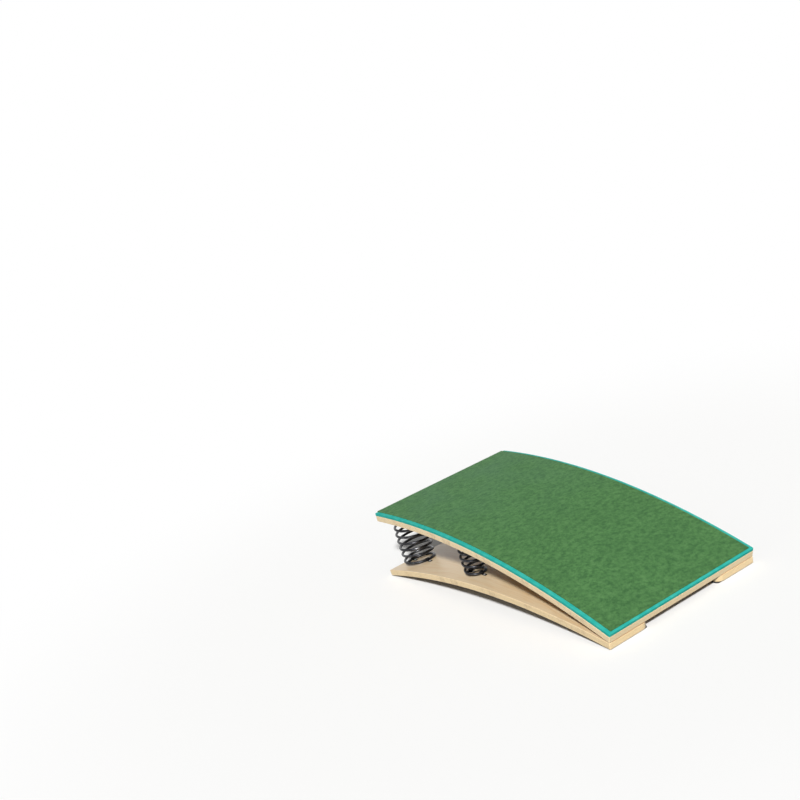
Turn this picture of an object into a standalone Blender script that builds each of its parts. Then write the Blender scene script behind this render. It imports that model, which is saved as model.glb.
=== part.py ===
"""A gymnastics springboard, 1.2 m long and 0.6 m wide.

A bowed plywood deck, padded with foam and covered with carpet, is bolted at its low end to an
arched plywood base and stands on four open coil springs. Units are metres and +Z is up. +X runs
from the low end to the high end, +Y is the runner's left, and the origin lies on the floor under
the middle of the board.
"""

import math

import bmesh
import bpy
import numpy as np
from mathutils import Matrix

# Clearance left between pieces that touch on the real board
GAP = 0.0003

# Boards. A chord is the straight distance between the two lower end corners of a bowed board.
BOARD_WIDTH = 0.600
BASE_PLY = 0.021
BASE_CHORD = 1.200
BASE_BOW_HEIGHT = 0.053
BASE_END_HEIGHT = 0.002
DECK_PLY = 0.021
DECK_LONGER_THAN_BASE = 0.003
DECK_CHORD = BASE_CHORD + DECK_LONGER_THAN_BASE
DECK_BOW_HEIGHT = 0.0605
DECK_HIGH_END_HEIGHT = 0.220
BOARD_FACETS = 32

# Cut-out in the low end of the base, between two tongues
CUTOUT_WIDTH = 0.290
CUTOUT_DEPTH = 0.110
CUTOUT_MOUTH_RADIUS = 0.025
CUTOUT_MOUTH_LEAD = 0.001
CUTOUT_CORNER_RADIUS = 0.030
CUTOUT_ARC_STEPS = 8

# Foam and carpet on the deck. The carpet stays back from three edges and ends flush at the high one.
FOAM_THICKNESS = 0.010
CARPET_THICKNESS = 0.003
CARPET_SIDE_BORDER = 0.012
CARPET_LOW_END_BORDER = 0.008

# Low-end joint: rubber feet, then the through bolts, then the high edge of the packing wedges
WEDGE_EDGE = 0.001
WEDGE_PAST_BOLT = 0.020
WEDGE_SIDE_INSET = 0.012
FOOT_FROM_END = 0.004
FOOT_LENGTH = 0.024
FOOT_SIDE_INSET = 0.012
FOOT_TO_BOLT_HEAD = 0.002
BOLT_FROM_SIDE = 0.035
BOLT_PITCH = 0.072
BOLT_RADIUS = 0.004
BOLT_HOLE_ROOM = 0.0003
BOLT_ROCKING_ROOM = 0.0023
BOLT_HEAD_RADIUS = 0.010
BOLT_HEAD_HEIGHT = 0.0044
BOLT_PAST_NUT = 0.001
DECK_UNDER_RECESS = 0.0105
RECESS_ROOM = 0.0025
WASHER_PLAY = 0.002
WASHER_RADIUS = 0.010
WASHER_THICKNESS = 0.0016
NUT_ACROSS_FLATS = 0.013
NUT_HEIGHT = 0.004

# Springs. Each end turn lies flat on its board under two clips, on the spring's low and high side.
WIRE_DIAMETER = 0.009
SPRING_SIDE_MARGIN = 0.030
SPRING_BULGE = 0.004
POINTS_PER_TURN = 10
FRONT_SPRING_DIAMETER = 0.116
FRONT_SPRING_FROM_END = 0.065
FRONT_SPRING_HALF_TURNS = 15
REAR_SPRING_DIAMETER = 0.076
REAR_SPRING_FROM_END = 0.460
REAR_SPRING_HALF_TURNS = 11
LEAST_SPRING_GAP = 0.0004

# Spring clips and their screws. The next half turn of the wire rises clear over each clip.
CLIP_THICKNESS = 0.002
CLIP_WIDTH = 0.010
CLIP_FOOT = 0.016
CLIP_SIDE_ROOM = 0.0016
CLIP_TOP_ROOM = 0.0015
CLIP_INWARD_SHIFT = 0.001
CLIP_ARCH_STEPS = 6
TURN_OVER_CLIP = 0.0062
SCREW_RADIUS = 0.0021
SCREW_LENGTH = 0.016
SCREW_POINT = 0.004
SCREW_HEAD_RADIUS = 0.0045
SCREW_HEAD_TOP_RADIUS = 0.003
SCREW_HEAD_HEIGHT = 0.0026
SCREW_HOLE_ROOM = 0.0004

ROUND_STEPS = 12
DOME_STEPS = 4
CUTTER_OVERLAP = 0.010


class Arc:
    """A circular arc in the side view, bowed upwards between a low-end and a high-end point.

    A lift moves it outwards. A lean is the angle of the surface's normal towards +X.
    """

    def __init__(self, low, high, rise):
        chord = math.dist(low, high)
        tilt = math.asin((high[1] - low[1]) / chord)
        half = half_angle(chord, rise)
        self.radius = chord / 2 / math.sin(half)
        drop = self.radius - rise
        self.x = (low[0] + high[0]) / 2 + drop * math.sin(tilt)
        self.z = (low[1] + high[1]) / 2 - drop * math.cos(tilt)
        self.low_lean = -half - tilt
        self.high_lean = half - tilt

    def lean(self, x, lift=0.0):
        return math.asin((x - self.x) / (self.radius + lift))

    def height(self, x, lift=0.0):
        return self.z + math.sqrt((self.radius + lift) ** 2 - (x - self.x) ** 2)

    def point(self, lean, lift=0.0):
        reach = self.radius + lift
        return self.x + reach * math.sin(lean), self.z + reach * math.cos(lean)

    def distance_along(self, start, lean, lift):
        """How far a line from start, leaning by lean, runs until it meets the lifted arc."""
        offset_x = start[0] - self.x
        offset_z = start[1] - self.z
        forward = offset_x * math.sin(lean) + offset_z * math.cos(lean)
        behind = offset_x**2 + offset_z**2 - (self.radius + lift) ** 2
        return math.sqrt(forward**2 - behind) - forward


def half_angle(chord, rise):
    return 2 * math.atan(2 * rise / chord)


# Places that follow from the sizes above
BASE_HALF_ANGLE = half_angle(BASE_CHORD, BASE_BOW_HEIGHT)
BASE_END_RUN = BASE_PLY * math.sin(BASE_HALF_ANGLE)
DECK_LOW_HEIGHT = BASE_END_HEIGHT + BASE_PLY * math.cos(BASE_HALF_ANGLE) + WEDGE_EDGE + 2 * GAP
DECK_TILT = math.asin((DECK_HIGH_END_HEIGHT - DECK_LOW_HEIGHT) / DECK_CHORD)
DECK_TOP = DECK_PLY + GAP
FOAM_TOP = DECK_TOP + FOAM_THICKNESS
LOW_TIP_RUN = FOAM_TOP * math.sin(half_angle(DECK_CHORD, DECK_BOW_HEIGHT) + DECK_TILT)
CORNER_X = (LOW_TIP_RUN - BASE_CHORD - 2 * BASE_END_RUN) / 2
BASE_ARC = Arc(
    (CORNER_X + BASE_END_RUN, BASE_END_HEIGHT),
    (CORNER_X + BASE_END_RUN + BASE_CHORD, BASE_END_HEIGHT),
    BASE_BOW_HEIGHT,
)
DECK_HIGH_END_X = CORNER_X + DECK_CHORD * math.cos(DECK_TILT)
DECK_ARC = Arc(
    (CORNER_X, DECK_LOW_HEIGHT),
    (DECK_HIGH_END_X, DECK_HIGH_END_HEIGHT),
    DECK_BOW_HEIGHT,
)
LOW_FOOT_X = CORNER_X + BASE_END_RUN + FOOT_FROM_END
BOLT_X = LOW_FOOT_X + FOOT_LENGTH + FOOT_TO_BOLT_HEAD + BOLT_HEAD_RADIUS
HINGE_X = BOLT_X + WEDGE_PAST_BOLT
HINGE_Z = DECK_ARC.height(HINGE_X) - GAP
WIRE_RADIUS = WIRE_DIAMETER / 2
WIRE_LIFT = GAP + WIRE_RADIUS
CLIP_HALF_OPENING = WIRE_RADIUS + CLIP_SIDE_ROOM
CLIP_RISE = WIRE_RADIUS + CLIP_TOP_ROOM
CLIP_HEIGHT = WIRE_LIFT + CLIP_RISE + CLIP_THICKNESS
CLIP_SCREW_X = -(CLIP_HALF_OPENING + CLIP_THICKNESS + CLIP_FOOT / 2)


def linear(value):
    return value / 12.92 if value <= 0.04045 else ((value + 0.055) / 1.055) ** 2.4


def make_material(name, colour, roughness, metallic=0.0):
    material = bpy.data.materials.new(name)
    material.use_nodes = True
    shader = material.node_tree.nodes["Principled BSDF"]
    channels = [linear(int(colour[i : i + 2], 16) / 255) for i in (1, 3, 5)]
    shader.inputs["Base Color"].default_value = (*channels, 1.0)
    shader.inputs["Roughness"].default_value = roughness
    shader.inputs["Metallic"].default_value = metallic
    return material


def clear_scene():
    for old in list(bpy.data.objects):
        bpy.data.objects.remove(old, do_unlink=True)


def make_collection(name, parent, hidden=False):
    made = bpy.data.collections.new(name)
    made.hide_render = hidden
    parent.children.link(made)
    return made


def make_empty(name, x, z):
    empty = bpy.data.objects.new(name, None)
    empty.location = (x, 0.0, z)
    empty.empty_display_size = 0.05
    PARTS.objects.link(empty)
    return empty


def add_part(piece, material, carrier):
    """Puts a finished piece into the model, carried by the base's or the deck's empty."""
    PARTS.objects.link(piece)
    piece.data.materials.clear()
    piece.data.materials.append(material)
    piece.parent = carrier
    piece.matrix_parent_inverse = Matrix.Translation(-carrier.location)
    return piece


def add_cutter(piece, group):
    piece.hide_render = True
    piece.display_type = "WIRE"
    group.objects.link(piece)
    return piece


def poly_spline(curve, points, closed=True):
    spline = curve.splines.new("POLY")
    spline.points.add(len(points) - 1)
    for place, point in zip(spline.points, points):
        place.co = (*point, 1.0)
    spline.use_cyclic_u = closed


def mesh_from(curve, name):
    """The solid of a filled curve as a mesh, with its caps welded on."""
    guide = bpy.data.objects.new(name + "_outline", curve)
    bpy.context.scene.collection.objects.link(guide)
    graph = bpy.context.evaluated_depsgraph_get()
    mesh = bpy.data.meshes.new_from_object(guide.evaluated_get(graph))
    mesh.name = name
    bpy.data.objects.remove(guide)
    bpy.data.curves.remove(curve)
    work = bmesh.new()
    work.from_mesh(mesh)
    bmesh.ops.remove_doubles(work, verts=work.verts, dist=1e-5)
    bmesh.ops.recalc_face_normals(work, faces=work.faces)
    work.to_mesh(mesh)
    work.free()
    mesh.shade_smooth()
    mesh.set_sharp_from_angle(angle=math.radians(30))
    return mesh


def plate_mesh(name, outlines, bottom, top):
    """A plate with this plan, from bottom to top along Z. A second outline is a hole."""
    curve = bpy.data.curves.new(name, "CURVE")
    curve.dimensions = "2D"
    curve.fill_mode = "BOTH"
    curve.extrude = (top - bottom) / 2
    for outline in outlines:
        poly_spline(curve, [(x, y, 0.0) for x, y in outline])
    mesh = mesh_from(curve, name)
    mesh.transform(Matrix.Translation((0.0, 0.0, (bottom + top) / 2)))
    return mesh


def side_profile_mesh(name, outline, width):
    """A solid with this side view, given as X and Z, centred on the plane between its sides."""
    mesh = plate_mesh(name, [outline], -width / 2, width / 2)
    mesh.transform(Matrix.Rotation(math.pi / 2, 4, "X"))
    return mesh


def side_profile(name, outline, y_low, y_high):
    piece = bpy.data.objects.new(name, side_profile_mesh(name, outline, y_high - y_low))
    piece.location.y = (y_low + y_high) / 2
    return piece


def bent_outline(arc, leans, low_lift, high_lift):
    """The side view of a layer that follows an arc, with square-cut ends."""
    top = [arc.point(lean, high_lift) for lean in leans]
    bottom = [arc.point(lean, low_lift) for lean in reversed(leans)]
    return top + bottom


def circle(radius, steps=ROUND_STEPS):
    angles = [2 * math.pi * step / steps for step in range(steps)]
    return [(radius * math.cos(angle), radius * math.sin(angle)) for angle in angles]


def arc_points(centre, radius, start, end, steps):
    angles = np.linspace(start, end, steps + 1)
    return [(centre[0] + radius * math.cos(a), centre[1] + radius * math.sin(a)) for a in angles]


def profile_mesh(name, profile):
    """The profile of a turned piece, from the top of its axis down the outer side."""
    mesh = bpy.data.meshes.new(name)
    links = [(i, i + 1) for i in range(len(profile) - 1)]
    mesh.from_pydata([(radius, 0.0, height) for radius, height in profile], links, [])
    return mesh


def turned(name, mesh):
    piece = bpy.data.objects.new(name, mesh)
    lathe = piece.modifiers.new("lathe", "SCREW")
    lathe.steps = ROUND_STEPS
    lathe.render_steps = ROUND_STEPS
    lathe.use_merge_vertices = True
    lathe.merge_threshold = 0.00001
    return piece


def peg_mesh(name, radius, bottom, top):
    """A cylinder along Z, from bottom to top."""
    work = bmesh.new()
    bmesh.ops.create_cone(
        work,
        cap_ends=True,
        segments=ROUND_STEPS,
        radius1=radius,
        radius2=radius,
        depth=top - bottom,
        matrix=Matrix.Translation((0.0, 0.0, (bottom + top) / 2)),
    )
    mesh = bpy.data.meshes.new(name)
    work.to_mesh(mesh)
    work.free()
    return mesh


def cut(piece, group):
    modifier = piece.modifiers.new("cut", "BOOLEAN")
    modifier.operand_type = "COLLECTION"
    modifier.collection = group
    modifier.solver = "EXACT"


def stand_on(piece, x, y, z, lean):
    piece.location = (x, y, z)
    piece.rotation_euler = (0.0, lean, 0.0)
    return piece


def place_on_base(piece, x, y):
    """Stands a clip or its screw on the base, over the wire's middle at x."""
    lean = BASE_ARC.lean(x, BASE_PLY + WIRE_LIFT)
    seat_x, seat_z = BASE_ARC.point(lean, BASE_PLY)
    return stand_on(piece, seat_x, y, seat_z, lean)


def place_under_deck(piece, x, y):
    """Hangs a clip or its screw from the deck, under the wire's middle at x."""
    lean = DECK_ARC.lean(x, -WIRE_LIFT)
    seat_x, seat_z = DECK_ARC.point(lean)
    stand_on(piece, seat_x, y, seat_z, lean)
    piece.rotation_euler.x = math.pi
    return piece


def board_leans(arc, low_lean=None, high_lean=None):
    low = arc.low_lean if low_lean is None else low_lean
    high = arc.high_lean if high_lean is None else high_lean
    return list(np.linspace(low, high, BOARD_FACETS + 1))


def make_cutout_cutter():
    """The plan of the cut-out: a flared mouth at the low end, straight sides and round corners."""
    half = CUTOUT_WIDTH / 2
    mouth = (
        CORNER_X + CUTOUT_MOUTH_RADIUS - CUTOUT_MOUTH_LEAD,
        half + CUTOUT_MOUTH_RADIUS,
    )
    corner = (
        CORNER_X + CUTOUT_DEPTH - CUTOUT_CORNER_RADIUS,
        half - CUTOUT_CORNER_RADIUS,
    )
    left = [(CORNER_X - CUTTER_OVERLAP, mouth[1])]
    left += arc_points(mouth, CUTOUT_MOUTH_RADIUS, math.pi, 1.5 * math.pi, CUTOUT_ARC_STEPS)
    left += arc_points(corner, CUTOUT_CORNER_RADIUS, math.pi / 2, 0.0, CUTOUT_ARC_STEPS)
    right = [(x, -y) for x, y in reversed(left)]
    top = BASE_BOW_HEIGHT + BASE_PLY + CUTTER_OVERLAP
    mesh = plate_mesh("cutout", [left + right], -CUTTER_OVERLAP, top)
    add_cutter(bpy.data.objects.new("cutout", mesh), BASE_CUTTERS)


def bolt_places():
    """Name and place across the board of each through bolt."""
    outer = BOARD_WIDTH / 2 - BOLT_FROM_SIDE
    for side_name, side in (("left", 1), ("right", -1)):
        yield f"{side_name}_outer", side * outer
        yield f"{side_name}_inner", side * (outer - BOLT_PITCH)


def place_on_bolt_line(piece, y):
    """Stands a piece of the bolted joint where its bolt leaves the base's lower face."""
    return stand_on(piece, BOLT_X, y, BASE_ARC.height(BOLT_X), BASE_ARC.lean(BOLT_X))


def height_on_bolt(lift):
    """Distance along a bolt from the base's lower face to the deck's lower face, lifted."""
    start = (BOLT_X, BASE_ARC.height(BOLT_X))
    return DECK_ARC.distance_along(start, BASE_ARC.lean(BOLT_X), lift)


def make_bolt_cutters():
    seat = height_on_bolt(0.0) + DECK_UNDER_RECESS
    top = height_on_bolt(DECK_PLY) + CUTTER_OVERLAP
    hole_top = height_on_bolt(DECK_PLY / 2)
    tight = BOLT_RADIUS + BOLT_HOLE_ROOM
    loose = BOLT_RADIUS + BOLT_ROCKING_ROOM
    wide = WASHER_RADIUS + RECESS_ROOM
    kinds = (
        ("base_bolt_hole", tight, -CUTTER_OVERLAP, hole_top, BASE_CUTTERS),
        ("deck_bolt_hole", loose, 0.0, top, DECK_CUTTERS),
        ("deck_recess", wide, seat, top, RECESS_CUTTERS),
    )
    for kind, radius, low, high, group in kinds:
        mesh = peg_mesh(kind, radius, low, high)
        for name, y in bolt_places():
            peg = bpy.data.objects.new(f"{kind}_{name}", mesh)
            add_cutter(place_on_bolt_line(peg, y), group)


def make_base_board():
    outline = bent_outline(BASE_ARC, board_leans(BASE_ARC), 0.0, BASE_PLY)
    piece = side_profile("base_board", outline, -BOARD_WIDTH / 2, BOARD_WIDTH / 2)
    cut(piece, BASE_CUTTERS)
    add_part(piece, BASE_PLYWOOD, BASE_FRAME)


def make_deck_board():
    outline = bent_outline(DECK_ARC, board_leans(DECK_ARC), 0.0, DECK_PLY)
    piece = side_profile("deck_board", outline, -BOARD_WIDTH / 2, BOARD_WIDTH / 2)
    cut(piece, DECK_CUTTERS)
    cut(piece, RECESS_CUTTERS)
    add_part(piece, DECK_PLYWOOD, DECK_HINGE)


def make_foam_pad():
    outline = bent_outline(DECK_ARC, board_leans(DECK_ARC), DECK_TOP, FOAM_TOP)
    piece = side_profile("foam_pad", outline, -BOARD_WIDTH / 2, BOARD_WIDTH / 2)
    add_part(piece, FOAM, DECK_HINGE)


def make_carpet():
    border_lean = DECK_ARC.low_lean + CARPET_LOW_END_BORDER / DECK_ARC.radius
    leans = board_leans(DECK_ARC, low_lean=border_lean)
    bottom = FOAM_TOP + GAP
    outline = bent_outline(DECK_ARC, leans, bottom, bottom + CARPET_THICKNESS)
    half = BOARD_WIDTH / 2 - CARPET_SIDE_BORDER
    add_part(side_profile("carpet", outline, -half, half), CARPET, DECK_HINGE)


def make_wedges():
    """Packing between the base's tongues and the deck, up to the hinge line."""
    places = np.linspace(CORNER_X, HINGE_X, 4)
    top = [(x, DECK_ARC.height(x) - GAP) for x in places]
    bottom = [(x, BASE_ARC.height(x, BASE_PLY) + GAP) for x in reversed(places)]
    outer = BOARD_WIDTH / 2 - WEDGE_SIDE_INSET
    for name, y_low, y_high in (
        ("wedge_left", 0.0, outer),
        ("wedge_right", -outer, 0.0),
    ):
        piece = side_profile(name, top + bottom, y_low, y_high)
        cut(piece, BASE_CUTTERS)
        add_part(piece, WEDGE_WOOD, BASE_FRAME)


def foot_outline(start, end):
    places = np.linspace(start, end, 4)
    top = [(x, BASE_ARC.height(x) - GAP) for x in places]
    return top + [(end, 0.0), (start, 0.0)]


def make_feet():
    """Rubber feet with a flat sole, two on the tongues and one across the high end."""
    outer = BOARD_WIDTH / 2 - FOOT_SIDE_INSET
    low_outline = foot_outline(LOW_FOOT_X, LOW_FOOT_X + FOOT_LENGTH)
    for name, y_low, y_high in (
        ("rubber_foot_low_left", 0.0, outer),
        ("rubber_foot_low_right", -outer, 0.0),
    ):
        piece = side_profile(name, low_outline, y_low, y_high)
        cut(piece, BASE_CUTTERS)
        add_part(piece, RUBBER, BASE_FRAME)
    high = CORNER_X + BASE_END_RUN + BASE_CHORD - FOOT_FROM_END
    high_outline = foot_outline(high - FOOT_LENGTH, high)
    piece = side_profile("rubber_foot_high", high_outline, -outer, outer)
    add_part(piece, RUBBER, BASE_FRAME)


def bolt_profile():
    """A coach bolt: the end of its thread, its shank, and the dome of its head below."""
    washer = height_on_bolt(0.0) + DECK_UNDER_RECESS + WASHER_PLAY
    end = washer + WASHER_THICKNESS + GAP + NUT_HEIGHT + BOLT_PAST_NUT
    dome = arc_points((0.0, 0.0), 1.0, 0.0, -math.pi / 2, DOME_STEPS)[:-1]
    dome = [(BOLT_HEAD_RADIUS * x, BOLT_HEAD_HEIGHT * z - GAP) for x, z in dome]
    bottom = (0.0, -GAP - BOLT_HEAD_HEIGHT)
    return [(0.0, end), (BOLT_RADIUS, end), (BOLT_RADIUS, -GAP)] + dome + [bottom]


def make_bolts():
    hole = circle(BOLT_RADIUS + BOLT_HOLE_ROOM, ROUND_STEPS)
    washer_low = height_on_bolt(0.0) + DECK_UNDER_RECESS + WASHER_PLAY
    washer_high = washer_low + WASHER_THICKNESS
    nut_low = washer_high + GAP
    disc = circle(WASHER_RADIUS, 2 * ROUND_STEPS)
    hexagon = circle(NUT_ACROSS_FLATS / math.sqrt(3), 6)
    bolt_mesh = profile_mesh("coach_bolt", bolt_profile())
    washer_mesh = plate_mesh("washer", [disc, hole], washer_low, washer_high)
    nut_mesh = plate_mesh("lock_nut", [hexagon, hole], nut_low, nut_low + NUT_HEIGHT)
    for name, y in bolt_places():
        pieces = (
            turned("coach_bolt_" + name, bolt_mesh),
            bpy.data.objects.new("washer_" + name, washer_mesh),
            bpy.data.objects.new("lock_nut_" + name, nut_mesh),
        )
        for piece in pieces:
            add_part(place_on_bolt_line(piece, y), ZINC, BASE_FRAME)


def spring_places():
    """Name, axis place, coil radius and count of half turns of each spring."""
    sizes = (
        ("front", FRONT_SPRING_FROM_END, FRONT_SPRING_DIAMETER, FRONT_SPRING_HALF_TURNS),
        ("rear", REAR_SPRING_FROM_END, REAR_SPRING_DIAMETER, REAR_SPRING_HALF_TURNS),
    )
    for end_name, from_end, diameter, half_turns in sizes:
        across = BOARD_WIDTH / 2 - SPRING_SIDE_MARGIN - diameter / 2
        for side_name, side in (("left", 1), ("right", -1)):
            name = f"{end_name}_{side_name}"
            radius = (diameter - WIRE_DIAMETER) / 2
            yield name, DECK_HIGH_END_X - from_end, side * across, radius, half_turns


def spring_points(x, y, radius, half_turns):
    """The wire's centre line, wound left-handed: a flat end turn on each board, rising between.

    A flat end turn runs from one point outside a clip to the clip on the other side. The next
    half turn rises over the first clip, and the turns between rise evenly.
    """
    step = 2 * math.pi / POINTS_PER_TURN
    low_rise = math.pi
    high_rise = (half_turns - 1) * math.pi
    room = DECK_ARC.height(x, -WIRE_LIFT) - BASE_ARC.height(x, BASE_PLY + WIRE_LIFT)
    lead = (CLIP_HEIGHT - GAP + TURN_OVER_CLIP) / room
    turns = [low_rise, low_rise + math.pi, high_rise - math.pi, high_rise]
    count = round((half_turns * math.pi + 2 * step) / step)
    points = []
    for angle in np.linspace(-step, half_turns * math.pi + step, count + 1):
        share = np.interp(angle, turns, [0.0, lead, 1 - lead, 1.0])
        reach = radius + SPRING_BULGE * math.sin(math.pi * share)
        place_x = x + reach * math.cos(angle)
        place_y = y - reach * math.sin(angle)
        low = BASE_ARC.height(place_x, BASE_PLY + WIRE_LIFT)
        high = DECK_ARC.height(place_x, -WIRE_LIFT)
        points.append((place_x, place_y, low + (high - low) * share))
    return points


def least_gap(points):
    """The smallest gap between stretches of the wire at least half a turn apart."""
    samples = 8
    dense = []
    for start, end in zip(points[:-1], points[1:]):
        dense += list(np.linspace(start, end, samples, endpoint=False))
    dense = np.array(dense)
    apart = samples * POINTS_PER_TURN // 2
    gaps = [
        np.linalg.norm(dense[i + apart :] - dense[i], axis=1).min()
        for i in range(len(dense) - apart)
    ]
    return min(gaps) - WIRE_DIAMETER


def make_springs():
    for name, x, y, radius, half_turns in spring_places():
        points = spring_points(x, y, radius, half_turns)
        curve = bpy.data.curves.new("spring_" + name, "CURVE")
        curve.dimensions = "3D"
        curve.bevel_depth = WIRE_RADIUS
        curve.bevel_resolution = 1
        curve.use_fill_caps = True
        poly_spline(curve, points, closed=False)
        spring = bpy.data.objects.new("spring_" + name, curve)
        add_part(spring, SPRING_STEEL, BASE_FRAME)
        gap = least_gap(points)
        verdict = "clear" if gap > LEAST_SPRING_GAP else "too close"
        print(f"spring_{name}: least gap to itself {gap * 1000:.2f} mm, {verdict}")


def clip_outline():
    """A strap over the wire, with its foot towards the low end. The board's face is at zero."""
    outer_half = CLIP_HALF_OPENING + CLIP_THICKNESS
    outer_rise = CLIP_RISE + CLIP_THICKNESS
    arch = arc_points((0.0, 0.0), 1.0, math.pi, 0.0, CLIP_ARCH_STEPS)
    inner = [(CLIP_HALF_OPENING * x, WIRE_LIFT + CLIP_RISE * z) for x, z in arch]
    outer = [(outer_half * x, WIRE_LIFT + outer_rise * z) for x, z in reversed(arch)]
    foot_end = -outer_half - CLIP_FOOT
    foot_top = GAP + CLIP_THICKNESS
    foot = [(-outer_half, foot_top), (foot_end, foot_top), (foot_end, GAP)]
    free_end = [(CLIP_HALF_OPENING, GAP), (outer_half, GAP)]
    return foot + [(-CLIP_HALF_OPENING, GAP)] + inner + free_end + outer


def screw_profile():
    head_bottom = CLIP_THICKNESS + 2 * GAP
    head_top = head_bottom + SCREW_HEAD_HEIGHT
    tip = head_bottom - SCREW_LENGTH
    return [
        (0.0, head_top),
        (SCREW_HEAD_TOP_RADIUS, head_top),
        (SCREW_HEAD_RADIUS, head_bottom + SCREW_HEAD_HEIGHT / 2),
        (SCREW_HEAD_RADIUS, head_bottom),
        (SCREW_RADIUS, head_bottom),
        (SCREW_RADIUS, tip + SCREW_POINT),
        (0.0, tip),
    ]


def clip_places():
    """Name, board and place of the wire's middle under each clip."""
    for spring, x, y, radius, _ in spring_places():
        for board in ("base", "deck"):
            for side_name, side in (("low", -1), ("high", 1)):
                middle = x + side * (radius - CLIP_INWARD_SHIFT)
                yield f"{spring}_{board}_{side_name}", board, middle, y


def place_at_clip(piece, board, x, y, along=0.0):
    """Places a piece at a clip, or this far along the clip's foot from the wire."""
    if board == "base":
        place_on_base(piece, x, y)
    else:
        place_under_deck(piece, x, y)
    lean = piece.rotation_euler.y
    piece.location.x += along * math.cos(lean)
    piece.location.z -= along * math.sin(lean)
    return piece


def make_clips():
    """The clips, with the screw and the pilot hole of each."""
    hole = SCREW_RADIUS + SCREW_HOLE_ROOM
    clip_mesh = side_profile_mesh("spring_clip", clip_outline(), CLIP_WIDTH)
    screw_mesh = profile_mesh("clip_screw", screw_profile())
    pilot_mesh = peg_mesh("pilot_hole", hole, CLIP_THICKNESS - SCREW_LENGTH, CUTTER_OVERLAP)
    for name, board, x, y in clip_places():
        pilot = bpy.data.objects.new("pilot_" + name, pilot_mesh)
        group = BASE_CUTTERS if board == "base" else DECK_CUTTERS
        add_cutter(place_at_clip(pilot, board, x, y, CLIP_SCREW_X), group)
        clip = bpy.data.objects.new("clip_" + name, clip_mesh)
        bore = clip.modifiers.new("bore", "BOOLEAN")
        bore.object = pilot
        bore.solver = "EXACT"
        carrier = BASE_FRAME if board == "base" else DECK_HINGE
        add_part(place_at_clip(clip, board, x, y), CLIP_STEEL, carrier)
        screw = turned("screw_" + name, screw_mesh)
        add_part(place_at_clip(screw, board, x, y, CLIP_SCREW_X), ZINC, carrier)


clear_scene()

PARTS = make_collection("gymnastics_springboard", bpy.context.scene.collection)
CUTTERS = make_collection("cutters", bpy.context.scene.collection, hidden=True)
BASE_CUTTERS = make_collection("base_cutters", CUTTERS, hidden=True)
DECK_CUTTERS = make_collection("deck_cutters", CUTTERS, hidden=True)
RECESS_CUTTERS = make_collection("recess_cutters", CUTTERS, hidden=True)

CARPET = make_material("green needle felt", "#527E4E", 0.95)
FOAM = make_material("turquoise foam", "#2FAFA6", 0.75)
DECK_PLYWOOD = make_material("birch plywood deck", "#E0C79B", 0.6)
BASE_PLYWOOD = make_material("birch plywood base", "#D5B283", 0.6)
WEDGE_WOOD = make_material("beech wedge", "#C79A6B", 0.65)
RUBBER = make_material("black rubber", "#242424", 0.9)
SPRING_STEEL = make_material("dark spring steel", "#3A3A3E", 0.35, 1.0)
CLIP_STEEL = make_material("blackened clip steel", "#2E2E30", 0.5, 1.0)
ZINC = make_material("zinc plated steel", "#B9BABB", 0.35, 1.0)

BASE_FRAME = make_empty("base_frame", 0.0, 0.0)
DECK_HINGE = make_empty("deck_hinge", HINGE_X, HINGE_Z)

make_cutout_cutter()
make_bolt_cutters()
make_clips()
make_base_board()
make_deck_board()
make_foam_pad()
make_carpet()
make_wedges()
make_feet()
make_bolts()
make_springs()
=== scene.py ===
# %% [markdown]
# # A gymnastics springboard
#
# A springboard is a short, low take-off board. A bowed plywood deck is bolted at its low end to
# an arched plywood base, and open coil springs hold its high end up. Foam and needle-felt
# carpet on the deck soften the jump.
#
# The solids of every piece exist already, at their real size. This lesson dresses them: it
# builds smooth versions of the boards, the soft layers and the springs, gives each piece the
# finish of its real material, and sets up a plain studio.

# %% Load the solids
import math
from functools import partial

import bmesh
import bpy
import numpy as np
from mathutils import Matrix, Vector, noise


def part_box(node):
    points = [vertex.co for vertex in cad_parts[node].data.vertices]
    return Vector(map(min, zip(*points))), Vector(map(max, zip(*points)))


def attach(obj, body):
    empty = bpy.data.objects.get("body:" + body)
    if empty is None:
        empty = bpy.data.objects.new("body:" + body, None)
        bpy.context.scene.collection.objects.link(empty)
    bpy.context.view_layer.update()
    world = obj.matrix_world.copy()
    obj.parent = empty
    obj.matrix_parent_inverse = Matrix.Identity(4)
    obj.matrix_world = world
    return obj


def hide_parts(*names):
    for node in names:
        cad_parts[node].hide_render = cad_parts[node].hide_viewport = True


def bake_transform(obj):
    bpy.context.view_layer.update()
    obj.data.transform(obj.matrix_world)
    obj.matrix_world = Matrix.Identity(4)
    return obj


MM = 0.001


def in_mm(lengths, digits=1):
    return [round(length / MM, digits) for length in lengths]


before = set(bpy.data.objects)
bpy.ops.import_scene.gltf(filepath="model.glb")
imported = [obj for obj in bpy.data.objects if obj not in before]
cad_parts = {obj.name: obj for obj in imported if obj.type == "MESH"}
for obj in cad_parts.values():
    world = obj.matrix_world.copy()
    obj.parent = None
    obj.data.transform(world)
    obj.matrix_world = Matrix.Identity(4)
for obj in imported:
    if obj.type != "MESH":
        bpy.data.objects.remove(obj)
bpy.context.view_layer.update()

# %% [markdown]
# ## The camera
#
# The place, direction and lens of the camera were worked out from the edges of both boards,
# which vanish towards the same two points. It stands by the low end, a little to one side,
# looks slightly down, and is rolled by about 16 degrees.

# %% Set up the camera


def add_object(name, data):
    piece = bpy.data.objects.new(name, data)
    bpy.context.scene.collection.objects.link(piece)
    return piece


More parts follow.
